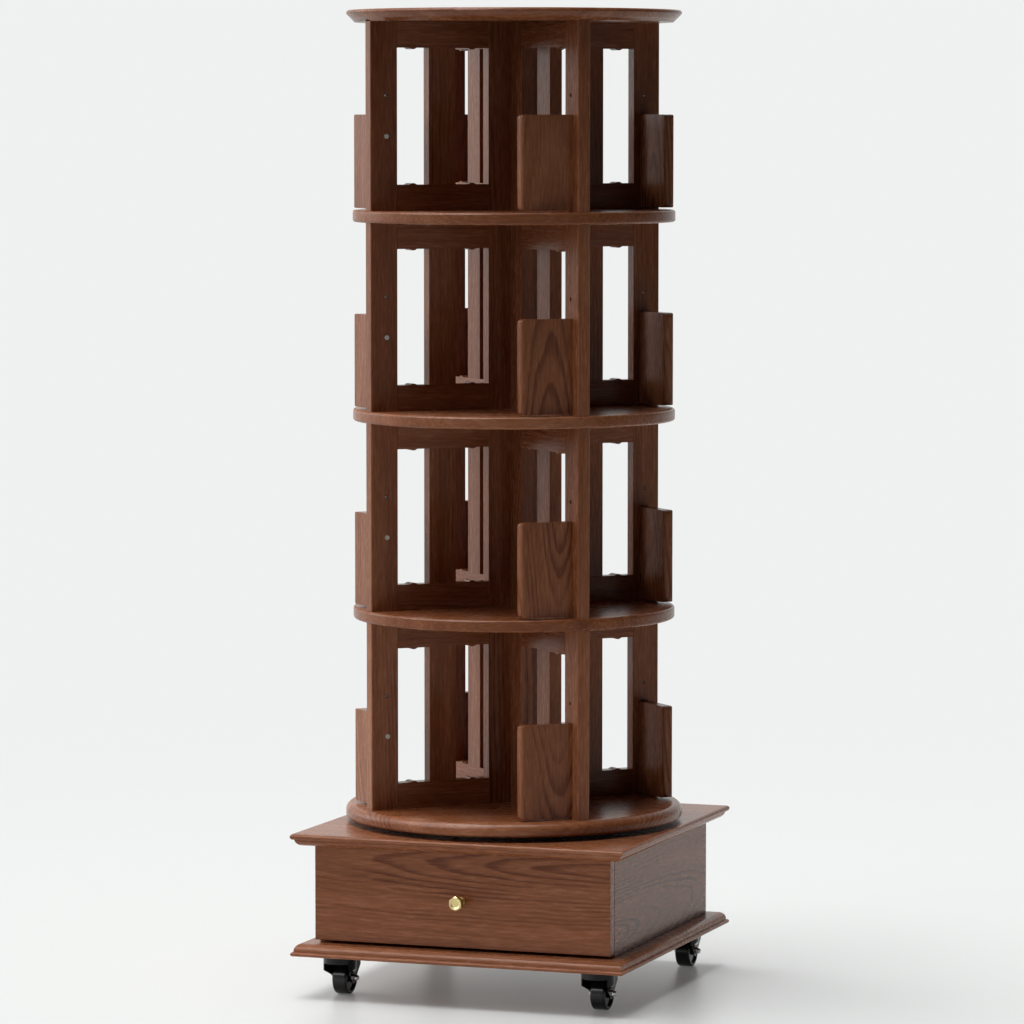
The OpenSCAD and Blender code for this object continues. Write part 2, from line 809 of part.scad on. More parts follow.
// Six-sided brass knob with a corner up, on a waisted neck
module drawer_knob() {
    neck_l = knob_l - knob_head_t;
    color([0.8, 0.66, 0.36]) translate([0, front_y, knob_z]) rotate([90, 0, 0]) difference() {
        union() {
            cylinder(d = knob_foot_d, h = 2);
            cylinder(d1 = knob_foot_d - 2, d2 = knob_neck_d, h = neck_l / 2);
            cylinder(d = knob_neck_d, h = neck_l + 1);
            intersection() {
                translate([0, 0, neck_l]) rotate(90) cylinder(d = knob_d, h = knob_head_t, $fn = 6);
                knob_turning(neck_l);
            }
        }
        translate([0, 0, -1]) cylinder(d = case_screw_d + 2 * fit, h = neck_l);
        translate([0, 0, knob_l - 0.8]) cylinder(d1 = knob_d * 0.5, d2 = knob_d * 0.7, h = 0.8 + eps);
    }
}

// Turned body that takes the sharp corners off both faces of the knob's head
module knob_turning(neck_l) {
    r = knob_d / 2;
    cut = knob_d * 0.07;
    translate([0, 0, neck_l]) {
        cylinder(r1 = r - cut, r2 = r, h = cut);
        translate([0, 0, cut]) cylinder(r = r, h = knob_head_t - 2 * cut);
        translate([0, 0, knob_head_t - cut]) cylinder(r1 = r, r2 = r - cut, h = cut);
    }
}

// Screws of the applied front, of the knob and of the runners' drawer parts
module drawer_screws() {
    color(ZINC) {
        translate([0, front_back_y + drawer_t, 0]) at_front_screws() rotate([-90, 0, 0])
            flat_head_screw(short_screw_d, drawer_t + short_screw_l - 1, short_head_d * 1.2, short_head_t);
        translate([0, front_back_y + drawer_t, knob_z]) rotate([-90, 0, 0]) flat_head_screw(
            case_screw_d, drawer_t + front_t + (knob_l - knob_head_t) * 0.7, case_head_d, stop_head_t);
        for (side = [-1, 1]) at_runner(side) for (y = runner_screw_y)
            translate([runner_w - runner_steel, y, 0]) rotate([0, -90, 0])
                flat_head_screw(short_screw_d, runner_steel + drawer_t - 3, short_head_d, runner_head_t);
    }
}

/* Drawer runners */

// Frame of one runner: X from the case side towards the drawer, Z from the runner's middle
module at_runner(side) {
    translate([side * case_inner, 0, runner_z]) mirror([side > 0 ? 1 : 0, 0, 0]) children();
}

// Channel section of height h from u0 to u1, its web at u0
module channel(u0, u1, h) {
    difference() {
        translate([u0, -h / 2]) square([u1 - u0, h]);
        translate([u0 + runner_steel, -h / 2 + runner_steel]) square([u1 - u0, h - 2 * runner_steel]);
    }
}

module runner_case_parts() {
    color(ZINC) for (side = [-1, 1]) at_runner(side) difference() {
        along_y(runner_y, runner_y + runner_l) channel(0, lip_u, runner_h);
        for (y = runner_screw_y) translate([runner_steel, y, 0]) rotate([0, 90, 0])
            hole(short_screw_d, runner_steel + 1);
    }
}

module runner_middle_parts() {
    color(ZINC) for (side = [-1, 1]) at_runner(side)
        along_y(runner_y, runner_y + runner_l) channel(middle_u, lip_u, middle_h);
}

module runner_drawer_parts() {
    color(ZINC) for (side = [-1, 1]) at_runner(side) difference() {
        along_y(runner_y, runner_y + runner_l)
            translate([runner_w, 0]) mirror([1, 0]) channel(0, runner_w - drawer_lip_u, drawer_part_h);
        for (y = runner_screw_y) translate([runner_w - runner_steel, y, 0]) rotate([0, -90, 0])
            hole(short_screw_d, runner_steel + 1);
    }
}

// Balls of diameter d in their strips, above and below a channel of height h
module ball_strips(d, h) {
    pitch = strip_l / strip_balls;
    v = h / 2 + ball_gap + d / 2;
    half_h = d / 2 - 0.1;
    for (side = [-1, 1]) at_runner(side) for (up = [-1, 1]) translate([ball_u, strip_y, up * v]) {
        difference() {
            block([-strip_t / 2, -strip_l / 2, -half_h], [strip_t / 2, strip_l / 2, half_h]);
            for (i = [0 : strip_balls - 1]) translate([0, (i + 0.5) * pitch - strip_l / 2, 0])
                rotate([0, 90, 0]) cylinder(d = d + 0.2, h = 2 * strip_t, center = true);
        }
        for (i = [0 : strip_balls - 1]) translate([0, (i + 0.5) * pitch - strip_l / 2, 0]) sphere(d = d);
    }
}

module runner_outer_balls() {
    color(ZINC) ball_strips(outer_ball_d, middle_h);
}

module runner_inner_balls() {
    color(ZINC) ball_strips(inner_ball_d, drawer_part_h);
}

/* Casters */

module at_corners() {
    for (c = CORNERS) translate([c[1] * swivel_xy, c[2] * swivel_xy, 0]) children();
}

module at_caster_screws() {
    p = plate_pitch / 2;
    at_corners() for (x = [-p, p], y = [-p, p]) translate([x, y, 0]) children();
}

// Plate with its upper race and the riveted kingpin
module caster_plate() {
    r = kingpin_d / 2;
    race_r = plate_pitch / 2 - 0.4;
    translate([0, 0, plate_z]) linear_extrude(plate_t) intersection() {
        square(plate_w, center = true);
        circle(r = plate_w / 2 * 1.32);
    }
    translate([0, 0, crown_z + run_gap]) difference() {
        cylinder(r = race_r, h = plate_z - crown_z - run_gap + eps);
        translate([0, 0, -1]) cylinder(r = race_r - 3, h = 1 + (plate_z - crown_z - run_gap) / 2);
    }
    translate([0, 0, crown_z - fork_t - 3]) cylinder(r = r, h = plate_z - crown_z + fork_t + 3 + eps);
    translate([0, 0, crown_z - fork_t - 3]) cylinder(r = r + 3, h = 3 - run_gap);
}

module caster_plates() {
    color(BLACK) difference() {
        at_corners() caster_plate();
        translate([0, 0, plate_z]) at_caster_screws() hole(short_screw_d, 1);
        translate([0, 0, plinth_z + 1]) at_caster_screws() hole(short_screw_d, plate_t + 2);
    }
}

// Plan of the fork, g inside its outer faces: a round head and a hood that runs back over
// the wheel
module fork_plan(g) {
    circle(r = head_r - g);
    translate([g - cheek_out, 0]) square([2 * (cheek_out - g), hood_back + fork_t - g]);
}

// Front outline of the fork in X and Z, closing in from the head to the two cheeks
module fork_front(g) {
    top = crown_z - g;
    low = crown_z - head_h;
    taper = head_r - cheek_out;
    polygon([
        [g - head_r, top],
        [head_r - g, top],
        [head_r - g, low],
        [cheek_out - g, low - taper],
        [cheek_out - g, 0],
        [g - cheek_out, 0],
        [g - cheek_out, low - taper],
        [g - head_r, low]
    ]);
}

// Side outline of the fork in Y and Z: head, hood and the cheeks down to the axle
module fork_side() {
    low = crown_z - head_h;
    boss_x = axle_boss_r - 0.2;
    polygon([
        [-head_r, crown_z],
        [head_r, crown_z],
        [hood_back + fork_t, crown_z - hood_drop],
        [hood_back + fork_t, low],
        [trail + boss_x, wheel_r - 1],
        [trail - boss_x, wheel_r - 1],
        [-head_r / 2, low - fork_t],
        [-head_r, low + fork_t]
    ]);
}

// Room inside the fork in Y and Z, open at the bottom
module fork_room() {
    polygon([
        [-head_r, crown_z - fork_t],
        [head_r - fork_t, crown_z - fork_t],
        [hood_back, crown_z - hood_drop - fork_t],
        [hood_back, 0],
        [-head_r, 0]
    ]);
}

module caster_fork(c) {
    color(BLACK) translate([c[1] * swivel_xy, c[2] * swivel_xy, 0]) difference() {
        union() {
            intersection() {
                linear_extrude(crown_z) fork_plan(0);
                along_y(-head_r, hood_back + fork_t) fork_front(0);
                along_x(-head_r, head_r) fork_side();
            }
            for (x = [-cheek_out, cheek_in]) translate([x, trail, wheel_r]) rotate([0, 90, 0])
                cylinder(r = axle_boss_r, h = fork_t);
        }
        intersection() {
            translate([0, 0, -1]) linear_extrude(crown_z) fork_plan(fork_t);
            along_y(-head_r, hood_back + fork_t) fork_front(fork_t);
            along_x(-head_r, head_r) fork_room();
        }
        block([-head_open / 2, -head_r - 1, 0], [head_open / 2, -head_r / 3, crown_z - head_band]);
        translate([0, 0, crown_z]) hole(kingpin_d, fork_t + 1);
        translate([cheek_out, trail, wheel_r]) rotate([0, 90, 0]) hole(axle_d, 2 * cheek_out + 1);
    }
}

// Moulded wheel: rounded tread, dished sides and a raised hub
module caster_wheel(c) {
    tread_r = 3;
    w = wheel_w / 2;
    rim = wheel_r - 5;
    hub = axle_d / 2 + 4;
    color([0.16, 0.16, 0.17])
        translate([c[1] * swivel_xy, c[2] * swivel_xy + trail, wheel_r]) rotate([0, 90, 0])
            rotate_extrude($fn = 96) difference() {
                union() {
                    translate([axle_d / 2 + fit, -w + tread_r])
                        square([wheel_r - axle_d / 2 - fit, wheel_w - 2 * tread_r]);
                    translate([axle_d / 2 + fit, -w])
                        square([wheel_r - tread_r - axle_d / 2 - fit, wheel_w]);
                    for (v = [-w + tread_r, w - tread_r])
                        translate([wheel_r - tread_r, v]) circle(r = tread_r);
                }
                for (side = [0, 1]) mirror([0, side]) translate([hub, w - 3]) square([rim - hub, 4]);
            }
}

// Axle bolt with a hexagon head, and its domed nut on the +X side
module caster_axle(c) {
    color(ZINC) translate([c[1] * swivel_xy, c[2] * swivel_xy + trail, wheel_r]) rotate([0, 90, 0]) {
        translate([0, 0, -cheek_out - axle_head_t]) cylinder(d = axle_d * 1.8, h = axle_head_t, $fn = 6);
        translate([0, 0, -cheek_out - eps]) cylinder(d = axle_d, h = 2 * cheek_out + nut_t - 1);
        translate([0, 0, cheek_out]) difference() {
            union() {
                cylinder(d = axle_d * 1.8, h = nut_t * 0.6, $fn = 6);
                cylinder(d = axle_d * 1.5, h = nut_t * 0.8);
                translate([0, 0, nut_t * 0.8]) intersection() {
                    sphere(d = axle_d * 1.5);
                    cylinder(d = axle_d * 2, h = axle_d);
                }
            }
            translate([0, 0, -1]) cylinder(d = axle_d + 2 * fit, h = nut_t + 0.4);
        }
    }
}

// Screws of the caster plates, of the lower ring and of the runners' case parts
module base_short_screws() {
    color(ZINC) {
        translate([0, 0, plate_z]) at_caster_screws() rotate([180, 0, 0])
            flat_head_screw(short_screw_d, short_screw_l + plate_t - 1, short_head_d, short_head_t);
        translate([0, 0, turntable_z + ring_flange_t - 0.1]) at_lower_ring_screws()
            sunk_screw(short_screw_d, short_screw_l, short_head_d, sunk_head_t);
        for (side = [-1, 1]) at_runner(side) for (y = runner_screw_y)
            translate([runner_steel, y, 0]) rotate([0, 90, 0]) flat_head_screw(
                short_screw_d, runner_steel + short_screw_l - 1, short_head_d, runner_head_t);
    }
}

plinth_board();
case_side(-1);  // case_side_left
case_side(1);  // case_side_right
case_back();
top_board();
case_screws();
turntable_lower_ring();
turntable_balls();
turntable_upper_ring();
turntable_upper_screws();
bottom_disc();
for (i = [0 : len(SHELF_NAMES) - 1])
    shelf(i + 1);
top_disc();
tier_dowels();
for (t = TIERS) {
    through_frame(t);
    for (f = HALF_FRAMES)
        half_frame(t, f[1]);
    book_stops(t);
}
stop_screws();
drawer_front();
drawer_inner_front();
drawer_side(-1);  // drawer_side_left
drawer_side(1);  // drawer_side_right
drawer_back();
drawer_bottom();
drawer_knob();
drawer_screws();
runner_case_parts();
runner_middle_parts();
runner_drawer_parts();
runner_outer_balls();
runner_inner_balls();
base_short_screws();
caster_plates();
for (c = CORNERS) {
    caster_fork(c);
    caster_wheel(c);
    caster_axle(c);
}
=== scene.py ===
"""Looks of the revolving bookcase: satin walnut, its metal parts, a pale studio and the camera."""

import json
import math
import random

import bmesh
import bpy
from mathutils import Matrix, Vector


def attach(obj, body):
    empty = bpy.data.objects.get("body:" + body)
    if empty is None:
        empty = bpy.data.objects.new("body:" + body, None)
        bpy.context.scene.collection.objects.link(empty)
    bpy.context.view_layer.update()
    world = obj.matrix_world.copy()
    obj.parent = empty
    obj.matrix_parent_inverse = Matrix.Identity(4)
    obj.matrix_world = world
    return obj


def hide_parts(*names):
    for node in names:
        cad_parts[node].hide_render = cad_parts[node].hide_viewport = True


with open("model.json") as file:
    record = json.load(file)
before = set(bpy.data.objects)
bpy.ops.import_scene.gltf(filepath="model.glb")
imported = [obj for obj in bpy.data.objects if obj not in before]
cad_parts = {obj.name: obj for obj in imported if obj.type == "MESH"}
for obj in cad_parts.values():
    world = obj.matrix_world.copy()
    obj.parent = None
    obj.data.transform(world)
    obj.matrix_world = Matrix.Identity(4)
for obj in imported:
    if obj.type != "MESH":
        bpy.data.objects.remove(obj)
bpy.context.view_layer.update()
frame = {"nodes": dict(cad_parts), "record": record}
scene = bpy.context.scene
NODES = frame["nodes"]
BODY_OF = {n: body for body, names in frame["record"]["behaviour"]["bodies"].items() for n in names}
SLOT_OF = {s["node"]: s["material_slot"] for s in frame["record"]["subparts"]}
MM = 0.001
BLACK = (0, 0, 0, 1)


# Shader trees

class Sock:
    """One output of a shader node. Sums with numbers or other outputs add Math nodes."""

    def __init__(self, tree, out):
        self.tree, self.out = tree, out

    def calc(self, operation, *values):
        return self.tree.add("ShaderNodeMath", {"operation": operation}, dict(enumerate(values)))

    def __add__(self, other):
        return self.calc("ADD", self, other)

    def __radd__(self, other):
        return self.calc("ADD", other, self)

    def __sub__(self, other):
        return self.calc("SUBTRACT", self, other)

    def __rsub__(self, other):
        return self.calc("SUBTRACT", other, self)

    def __mul__(self, other):
        return self.calc("MULTIPLY", self, other)

    def __pow__(self, other):
        return self.calc("POWER", self, other)


class Tree:
    """The node tree of a material or of the world, emptied and built up by add()."""

    def __init__(self, owner):
        owner.use_nodes = True
        self.nodes, self.links = owner.node_tree.nodes, owner.node_tree.links
        self.nodes.clear()

    def add(self, kind, settings=None, inputs=None, out=0):
        """Adds a node: first its settings, then the values or links of its sockets."""
        node = self.nodes.new(kind)
        for key, value in (settings or {}).items():
            if key == "stops":
                ramp = node.color_ramp.elements
                while len(ramp) < len(value):
                    ramp.new(0.5)
                for element, (position, colour) in zip(ramp, value):
                    element.position, element.color = position, (*colour, 1)
            else:
                setattr(node, key, value)
        for key, value in (inputs or {}).items():
            if isinstance(value, Sock):
                self.links.new(value.out, node.inputs[key])
            else:
                node.inputs[key].default_value = value
        return Sock(self, node.outputs[out]) if node.outputs else None

    def outputs(self, sock, *names):
        """The named outputs of the node that a socket belongs to."""
        return [Sock(self, sock.out.node.outputs[name]) for name in names]

    def attribute(self, name, out):
        return self.add("ShaderNodeAttribute", {"attribute_name": name}, out=out)

    def vector(self, x, y, z):
        return self.add("ShaderNodeCombineXYZ", None, {0: x, 1: y, 2: z})

    def noise(self, vector, scale=1.0, detail=2.0, rough=0.5):
        return self.add("ShaderNodeTexNoise", {"noise_dimensions": "3D"},
                        {"Vector": vector, "Scale": scale, "Detail": detail, "Roughness": rough})

    def between(self, value, low, high):
        """0 below low, 1 above high, with a soft step between them."""
        return self.add("ShaderNodeMapRange", {"interpolation_type": "SMOOTHSTEP"},
                        {"Value": value, "From Min": low, "From Max": high})

    def mix(self, factor, a, b):
        return self.add("ShaderNodeMix", {"data_type": "RGBA", "blend_type": "MIX"}, {0: factor, 6: a, 7: b}, 2)

    def mix_shaders(self, factor, a, b):
        return self.add("ShaderNodeMixShader", None, {0: factor, 1: a, 2: b})

    def diffuse(self, colour):
        return self.add("ShaderNodeBsdfDiffuse", None, {"Color": colour})

    def bump(self, height, strength):
        return self.add("ShaderNodeBump", None, {"Strength": strength, "Distance": 0.2 * MM, "Height": height})

    def surface(self, base, normal, **values):
        """Principled surface with the given sockets, their names written with _ for a blank."""
        inputs = {key.replace("_", " "): value for key, value in values.items()}
        bsdf = self.add("ShaderNodeBsdfPrincipled", None, {"Base Color": base, "Normal": normal, **inputs})
        self.add("ShaderNodeOutputMaterial", None, {"Surface": bsdf})

    def straight_rays(self):
        """Two outputs that are 1 for some rays: mirrored ones, and all that look straight at a thing, at its mirror
        image or through glass. The second is 0 for scattered light."""
        path = self.add("ShaderNodeLightPath")
        camera_ray, mirrored, through = self.outputs(path, "Is Camera Ray", "Is Glossy Ray", "Is Transmission Ray")
        return mirrored, camera_ray.calc("MAXIMUM", camera_ray.calc("MAXIMUM", camera_ray, mirrored), through)


def new_material(name):
    material = bpy.data.materials.new(name)
    return material, Tree(material)


def rgb(red, green, blue):
    return (red, green, blue, 1)


RINGS_PER_METRE = 160


def wood(name, dark, mid, light, figure=1.0):
    """Stained and varnished wood, cut from a trunk. Each member has its own coordinates, x along the grain and y
    across it from the pith. Its depth from the pith comes separately, as it leans along the member, which bends the
    rings' lines into arches. The higher the figure, the darker these lines."""
    material, t = new_material(name)
    grain = t.attribute("grain", "Vector")
    tone = t.attribute("tone", "Fac")
    pith_depth = t.attribute("pith", "Fac")
    x, y, z = t.outputs(t.add("ShaderNodeSeparateXYZ", None, {0: grain}), "X", "Y", "Z")

    # The trunk's slow bends and small waves, and the dark end of each ring, which shows in patches near the pith
    bends = t.noise(t.vector(x * 2.6, y * 11, z * 11)) - 0.5
    waves = t.noise(t.vector(x * 14, y * 34, z * 34)) - 0.5
    radius = (y * y + pith_depth * pith_depth) ** 0.5 + bends * (26 * MM) + waves * (2.8 * MM)
    rings = radius * RINGS_PER_METRE
    phase = rings.calc("FRACT", rings)
    late_wood = t.between(phase, 0.35, 0.85) * (1 - t.between(phase, 0.88, 1.0))
    patches = t.between(t.noise(t.vector(x * 3.1, radius * 38, 0.7)), 0.36, 0.6)
    lines = late_wood * patches * (1 - t.between(radius, 55 * MM, 110 * MM) * 0.8)

    # Bands of colour that follow the rings, and fine streaks and pores along the grain
    bands = t.noise(t.vector(x * 1.3, radius * 60, z * 3), 1, 3, 0.55) - 0.5
    streaks = t.noise(t.vector(x * 34, y * 330, z * 330), 1, 3, 0.6) - 0.5
    pores = t.between(t.noise(t.vector(x * 55, y * 950, z * 950)), 0.55, 0.75)

    shade = (0.58 + bands * 0.42 + streaks * 0.48 + (tone - 0.5) * 0.12 - lines * (0.16 * figure) - pores * 0.07)
    base = t.add("ShaderNodeValToRGB", {"stops": [(0.3, dark), (0.58, mid), (0.86, light)]}, {0: shade})
    normal = t.bump(streaks * 0.4 - pores * 0.6 - lines * 0.25, 0.15)
    t.surface(base, normal, Roughness=0.27 + pores * 0.06 + streaks * 0.04, Specular_IOR_Level=0.2)
    return material


def metal(name, colour, rough, metallic=1.0, **values):
    """Metal, or a painted or moulded skin where metallic is 0, with fine unevenness."""
    material, t = new_material(name)
    place = t.add("ShaderNodeTexCoord", None, None, "Object")
    cloud = t.noise(place, 60, 3)
    fine = t.noise(place, 900)
    base = t.mix(cloud, rgb(*[c * 0.82 for c in colour]), rgb(*[min(1, c * 1.12) for c in colour]))
    uneven = rough + (cloud - 0.5) * 0.12 + (fine - 0.5) * 0.05
    t.surface(base, t.bump(fine, 0.12), Metallic=metallic, Roughness=uneven, **values)
    return material


# The dark, middle and light colour of each wood
WALNUT = ((0.1, 0.0245, 0.0065), (0.224, 0.074, 0.029), (0.355, 0.155, 0.081))
# The stops' walnut: about a tenth lighter than WALNUT, as painted light standing in for the floor's light on the
# lowest stops
WALNUT_WITH_PAINTED_LIGHT = ((0.11, 0.028, 0.008), (0.237, 0.083, 0.034), (0.37, 0.17, 0.094))
PLAIN_HARDWOOD = ((0.16, 0.075, 0.035), (0.27, 0.14, 0.075), (0.38, 0.22, 0.13))
BIRCH = ((0.42, 0.27, 0.15), (0.56, 0.39, 0.23), (0.66, 0.49, 0.31))
MATERIALS = {
    "walnut": wood("walnut", *WALNUT, figure=1.5),
    "walnut_stop": wood("walnut_stop", *WALNUT_WITH_PAINTED_LIGHT, figure=1.7),
    "walnut_front": wood("walnut_front", *WALNUT, figure=1.6),
    "walnut_side": wood("walnut_side", *WALNUT, figure=3.0),
    "drawer_wood": wood("drawer_wood", *PLAIN_HARDWOOD),
    "dowel_wood": wood("dowel_wood", *BIRCH),
    "zinc_steel": metal("zinc_steel", (0.46, 0.45, 0.43), 0.38),
    "black_steel": metal("black_steel", (0.005, 0.005, 0.006), 0.13, 0.0, Specular_IOR_Level=0.22),
    "wheel_plastic": metal("wheel_plastic", (0.006, 0.006, 0.007), 0.18, 0.0, Specular_IOR_Level=0.35),
    "chrome": metal("chrome", (0.75, 0.75, 0.77), 0.12),
    "brass": metal("brass", (0.6, 0.49, 0.23), 0.3),
}


def finish_mesh(mesh, material, sharp):
    """Gives a mesh its material, smooth over curves and sharp past an angle in degrees."""
    mesh.materials.clear()
    mesh.materials.append(MATERIALS[material])
    mesh.shade_smooth()
    mesh.set_sharp_from_angle(angle=math.radians(sharp))


# Wooden pieces: eased edges, and grain along each member

SAME_POINT = 0.002 * MM
SAME_PLANE = math.radians(0.3)
CORNER = math.radians(35)
SHORTEST_EASED, SHORTEST_ALONG = 2 * MM, 6 * MM
CURVE_SHARP, WOOD_SHARP = 30, 40  # degrees past which an edge is drawn sharp

# Ranges of a member's place in the trunk: across and through the grain from the pith, and how fast the pith leaves
# the face along the member
PLAIN = ((0.07, 0.15), (0.03, 0.06), (0.01, 0.04))
FIGURED = ((0.0, 0.02), (0.03, 0.06), (0.09, 0.16))
# The same, in one place for a board whose figure shows in the photograph
FRONT = ((-0.062, -0.062), (0.036, 0.036), (-0.065, -0.065))
SIDE = ((0.03, 0.03), (0.02, 0.02), (0.12, 0.12))


def islands(bm):
    """Vertices of each separate solid in the mesh."""
    done = set()
    for first in bm.verts:
        if first in done:
            continue
        group, rim = set(), [first]
        while rim:
            vert = rim.pop()
            if vert not in group:
                group.add(vert)
                rim.extend(edge.other_vert(vert) for edge in vert.link_edges)
        done |= group
        yield sorted(group, key=lambda v: v.index)


def grain_frame(group, turn, along):
    """Directions along, across and through a member that is turned about Z, and the member's middle in them. The grain
    runs along the given axis of the member, or else along its longest side."""
    flat = Matrix.Rotation(-turn, 3, "Z")
    local = [flat @ v.co for v in group]
    size = [max(p[i] for p in local) - min(p[i] for p in local) for i in range(3)]
    first = along if along is not None else max(range(3), key=lambda i: size[i])
    last = min((i for i in range(3) if i != first), key=lambda i: size[i])
    second = 3 - first - last
    middle = sum(local, Vector()) / len(local)
    return [flat.row[i] for i in (first, second, last)], [middle[i] for i in (first, second, last)]


def edges_to_ease(bm, turn, along, everywhere):
    """Corner edges that run straight along their member, or all but the shortest ones."""
    edges = []
    for group in islands(bm):
        (lengthwise, _, _), _ = grain_frame(group, turn, along)
        for vert in group:
            for edge in vert.link_edges:
                if edge.verts[0] is not vert or len(edge.link_faces) != 2:
                    continue
                run = edge.verts[1].co - edge.verts[0].co
                straight = run.length > SHORTEST_ALONG and abs(run.normalized().dot(lengthwise)) > 0.999
                if (straight or everywhere) and edge.calc_face_angle(0) > CORNER and run.length > SHORTEST_EASED:
                    edges.append(edge)
    return edges


def places_in_trunk(bm, turn, along, sawn, seed):
    """Each vertex's grain coordinates, depth from the pith and tone, which are drawn for its member."""
    grain, piths, tones = ([None] * len(bm.verts) for _ in range(3))
    chance = random.Random(seed)
    for group in sorted(islands(bm), key=lambda g: tuple(round(c, 3) for c in g[0].co)):
        rows, middle = grain_frame(group, turn, along)
        across, through, leaving = (chance.uniform(*span) for span in sawn)
        start = chance.uniform(0, 40)
        side = chance.choice((-1, 1)) if sawn in (PLAIN, FIGURED) else 1
        tone = chance.random()
        for vert in group:
            x, y, z = (row.dot(vert.co) - m for row, m in zip(rows, middle))
            grain[vert.index] = (x + start, y + across * side, z + through)
            piths[vert.index] = z + through + x * leaving * side
            tones[vert.index] = tone
    return grain, piths, tones


def dress(node, turn=0, along=None, ease=0.7 * MM, everywhere=False, seed=0, sawn=PLAIN, material=None):
    """Puts a copy of a wooden node in its place, with eased edges and with grain along each member. turn is the
    members' angle about Z in degrees."""
    turn = math.radians(turn)
    mesh = bpy.data.meshes.new("wood_" + node)
    bm = bmesh.new()
    bm.from_mesh(NODES[node].data)
    bmesh.ops.remove_doubles(bm, verts=bm.verts, dist=SAME_POINT)
    bmesh.ops.dissolve_limit(bm, angle_limit=SAME_PLANE, verts=bm.verts, edges=bm.edges)
    bm.verts.index_update()
    edges = edges_to_ease(bm, turn, along, everywhere) if ease else []
    if edges:
        bmesh.ops.bevel(bm, geom=edges, offset=ease, offset_type="OFFSET", segments=2, profile=0.5,
                        affect="EDGES", clamp_overlap=True)
    bm.verts.index_update()
    grain, piths, tones = places_in_trunk(bm, turn, along, sawn, seed)
    bm.to_mesh(mesh)
    bm.free()
    mesh.attributes.new("grain", "FLOAT_VECTOR", "POINT").data.foreach_set("vector", [c for p in grain for c in p])
    mesh.attributes.new("tone", "FLOAT", "POINT").data.foreach_set("value", tones)
    mesh.attributes.new("pith", "FLOAT", "POINT").data.foreach_set("value", piths)
    piece = bpy.data.objects.new("wood_" + node, mesh)
    scene.collection.objects.link(piece)
    finish_mesh(mesh, material or SLOT_OF[node], WOOD_SHARP)
    weighted = piece.modifiers.new("flat_faces", "WEIGHTED_NORMAL")
    weighted.keep_sharp = True
    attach(piece, BODY_OF[node])
    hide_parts(node)


ALONG_X, ALONG_Y, ALONG_Z = 0, 1, 2
ROUND_BOARDS_TURN = 20
THROUGH_TURN, FRONT_HALF_TURN, BACK_HALF_TURN = 45, 315, 135
for n, disc in enumerate(["bottom_disc", "shelf_lower", "shelf_middle", "shelf_upper", "top_disc"]):
    dress(disc, ROUND_BOARDS_TURN, ALONG_X, ease=0, seed=10 + n)
for tier in (1, 2, 3, 4):
    dress(f"through_frame_{tier}", THROUGH_TURN, seed=20 + tier)
    dress(f"half_frame_front_{tier}", FRONT_HALF_TURN, seed=30 + tier)
    dress(f"half_frame_back_{tier}", BACK_HALF_TURN, seed=40 + tier)
    dress(f"book_stops_{tier}", THROUGH_TURN, ALONG_Z, ease=1.2 * MM, everywhere=True, seed=50 + tier, sawn=FIGURED)
dress("plinth_board", 0, ALONG_X, ease=0, seed=60)
dress("top_board", 0, ALONG_X, ease=0, seed=61)
dress("case_side_left", 0, ALONG_Y, seed=62)
dress("case_side_right", 0, ALONG_Y, seed=63, sawn=SIDE, material="walnut_side")
dress("case_back", 0, ALONG_X, seed=64)
dress("drawer_front", 0, ALONG_X, ease=1.0 * MM, everywhere=True, seed=65, sawn=FRONT)
for n, side in enumerate(["drawer_side_left", "drawer_side_right"]):
    dress(side, 0, ALONG_Y, seed=70 + n)
for n, board in enumerate(["drawer_inner_front", "drawer_back", "drawer_bottom"]):
    dress(board, 0, ALONG_X, seed=72 + n)
dress("tier_dowels", 0, ALONG_Z, ease=0, seed=80)

for name, node in NODES.items():
    if not node.hide_render:
        finish_mesh(node.data, SLOT_OF[name], CURVE_SHARP)


# Studio: an even pale backdrop, which gloss sees only behind the bookcase, and a white floor that fades into it

BACKDROP = rgb(0.863, 0.880, 0.871)
DARK_SIDE_GLOSS = 0.1  # share of the backdrop's light that gloss still gets from the camera's side of the room
BRIGHT_SIDE = (-0.68, 0.68, 0.27)  # middle of the bright part of the room
SCATTERED = rgb(0.25, 0.25, 0.25)  # light that the bright side adds to matt surfaces

world = bpy.data.worlds.new("studio")
scene.world = world
tree = Tree(world)
mirrored, direct = tree.straight_rays()
facing = tree.add("ShaderNodeVectorMath", {"operation": "DOT_PRODUCT"},
                  {0: tree.add("ShaderNodeTexCoord", None, None, "Generated"), 1: BRIGHT_SIDE}, "Value")
behind = tree.between(facing, -0.1, 0.85)
seen = tree.mix(mirrored * (1 - behind) * (1 - DARK_SIDE_GLOSS), BACKDROP, BLACK)
backdrop = tree.mix(direct, tree.mix(behind, BLACK, SCATTERED), seen)
tree.add("ShaderNodeOutputWorld", None,
         {"Surface": tree.add("ShaderNodeBackground", None, {"Color": backdrop, "Strength": 1.0})})

FLOOR_HALF = 60
FLOOR = rgb(0.66, 0.673, 0.666)
FLOOR_TO_MATT = rgb(0.8, 0.816, 0.808)  # the floor as it lights matt surfaces
FAR_TO_MATT = rgb(0.02, 0.02, 0.02)
FADE_FROM, FADE_TO = 1.0, 3.2  # metres from the bookcase
NEAR_BLEND = 0.09  # how much of the backdrop's plain tone the near floor has

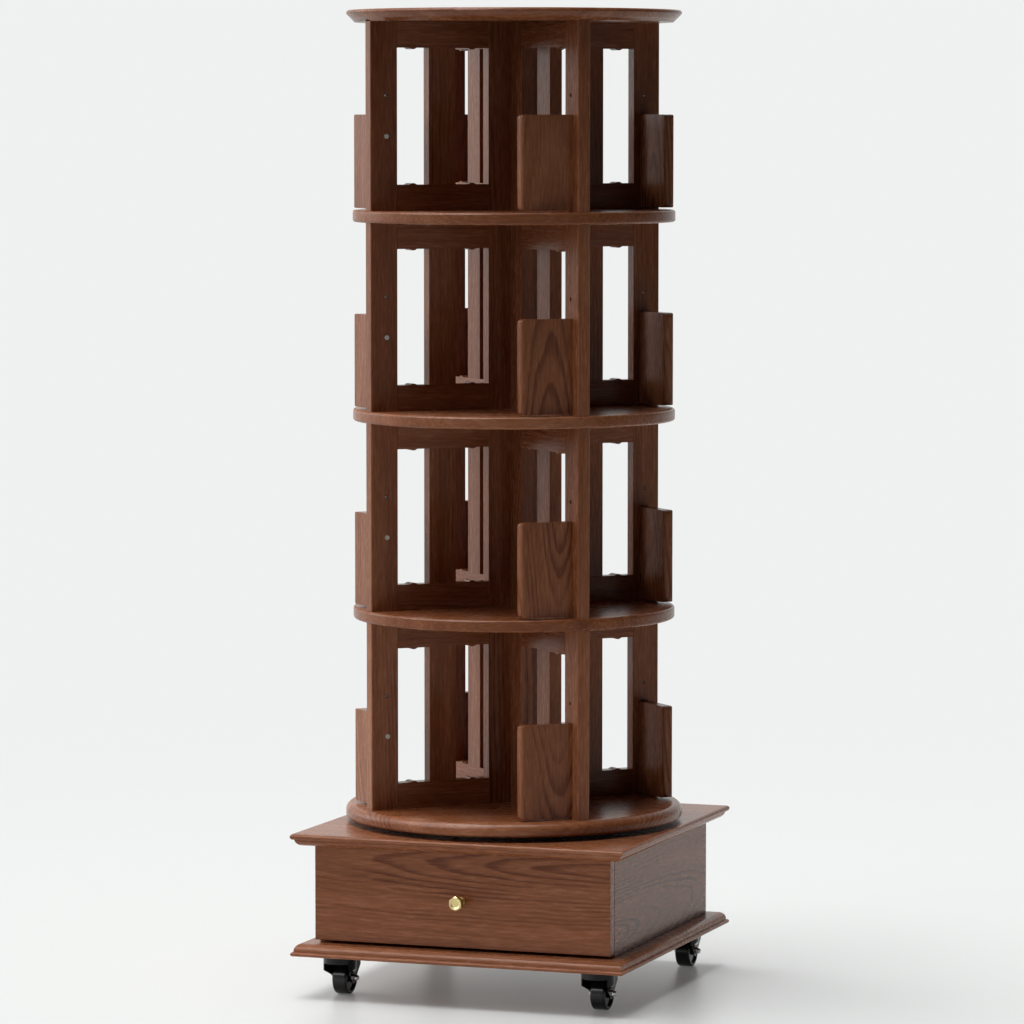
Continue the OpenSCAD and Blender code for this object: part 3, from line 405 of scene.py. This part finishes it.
floor_mesh = bpy.data.meshes.new("floor")
floor_bm = bmesh.new()
bmesh.ops.create_grid(floor_bm, x_segments=4, y_segments=4, size=FLOOR_HALF)
floor_bm.to_mesh(floor_mesh)
floor_bm.free()
floor = bpy.data.objects.new("floor", floor_mesh)
scene.collection.objects.link(floor)
material, tree = new_material("floor")
_, direct = tree.straight_rays()
place = tree.add("ShaderNodeTexCoord", None, None, "Object")
away = tree.add("ShaderNodeVectorMath", {"operation": "LENGTH"}, {0: place}, "Value")
far = tree.between(away, FADE_FROM, FADE_TO)
white = tree.add("ShaderNodeBsdfPrincipled", None, {"Base Color": FLOOR, "Roughness": 0.33, "Specular IOR Level": 0.4})
plain = tree.add("ShaderNodeEmission", None, {"Color": BACKDROP, "Strength": 1.0})
seen = tree.mix_shaders(NEAR_BLEND + far * (1 - NEAR_BLEND), white, plain)
bounced = tree.mix_shaders(far, tree.diffuse(FLOOR_TO_MATT), tree.diffuse(FAR_TO_MATT))
tree.add("ShaderNodeOutputMaterial", None, {"Surface": tree.mix_shaders(direct, bounced, seen)})
floor_mesh.materials.append(material)


def sun(name, azimuth, height, strength, width, matt=True, mirrored=True):
    """Soft distant lamp that shines from the given side and height, on matt surfaces, in gloss or both. Its angles and
    width are in degrees, and azimuth 270 is the drawer's side."""
    azimuth, height = math.radians(azimuth), math.radians(height)
    light = bpy.data.lights.new(name, "SUN")
    light.energy, light.angle = strength, math.radians(width)
    lamp = bpy.data.objects.new(name, light)
    source = Vector((math.cos(azimuth) * math.cos(height), math.sin(azimuth) * math.cos(height), math.sin(height)))
    lamp.rotation_euler = source.to_track_quat("Z", "Y").to_euler()
    lamp.visible_diffuse, lamp.visible_glossy = matt, mirrored
    scene.collection.objects.link(lamp)


sun("overhead", azimuth=215, height=81, strength=3.05, width=40)
sun("left", azimuth=192, height=16, strength=1.0, width=60)
sun("front_low", azimuth=238, height=8, strength=0.42, width=60)
sun("rim", azimuth=160, height=14, strength=1.5, width=40, mirrored=False)
sun("glint", azimuth=166, height=8, strength=0.24, width=36)
sun("accent", azimuth=242, height=50, strength=0.15, width=16)
sun("softbox", azimuth=226, height=45, strength=4.2, width=56, matt=False)


# Camera, fitted to the photograph's edges

VIEW_TURN, VIEW_PITCH = math.radians(19.701), math.radians(4.513)
DISTANCE, SIDESTEP, EYE_HEIGHT = 7.7164, -0.0031, 1.3296
SENSOR, LENS, FARTHEST = 36.0, 179.16, 200
camera = bpy.data.objects.new("camera", bpy.data.cameras.new("camera"))
camera.data.sensor_width, camera.data.lens, camera.data.clip_end = SENSOR, LENS, FARTHEST
camera.location = (math.sin(VIEW_TURN) * DISTANCE + math.cos(VIEW_TURN) * SIDESTEP,
                   -math.cos(VIEW_TURN) * DISTANCE + math.sin(VIEW_TURN) * SIDESTEP, EYE_HEIGHT)
camera.rotation_euler = (math.pi / 2 - VIEW_PITCH, 0, VIEW_TURN)
scene.collection.objects.link(camera)
scene.camera = camera
scene.view_settings.view_transform = "Standard"
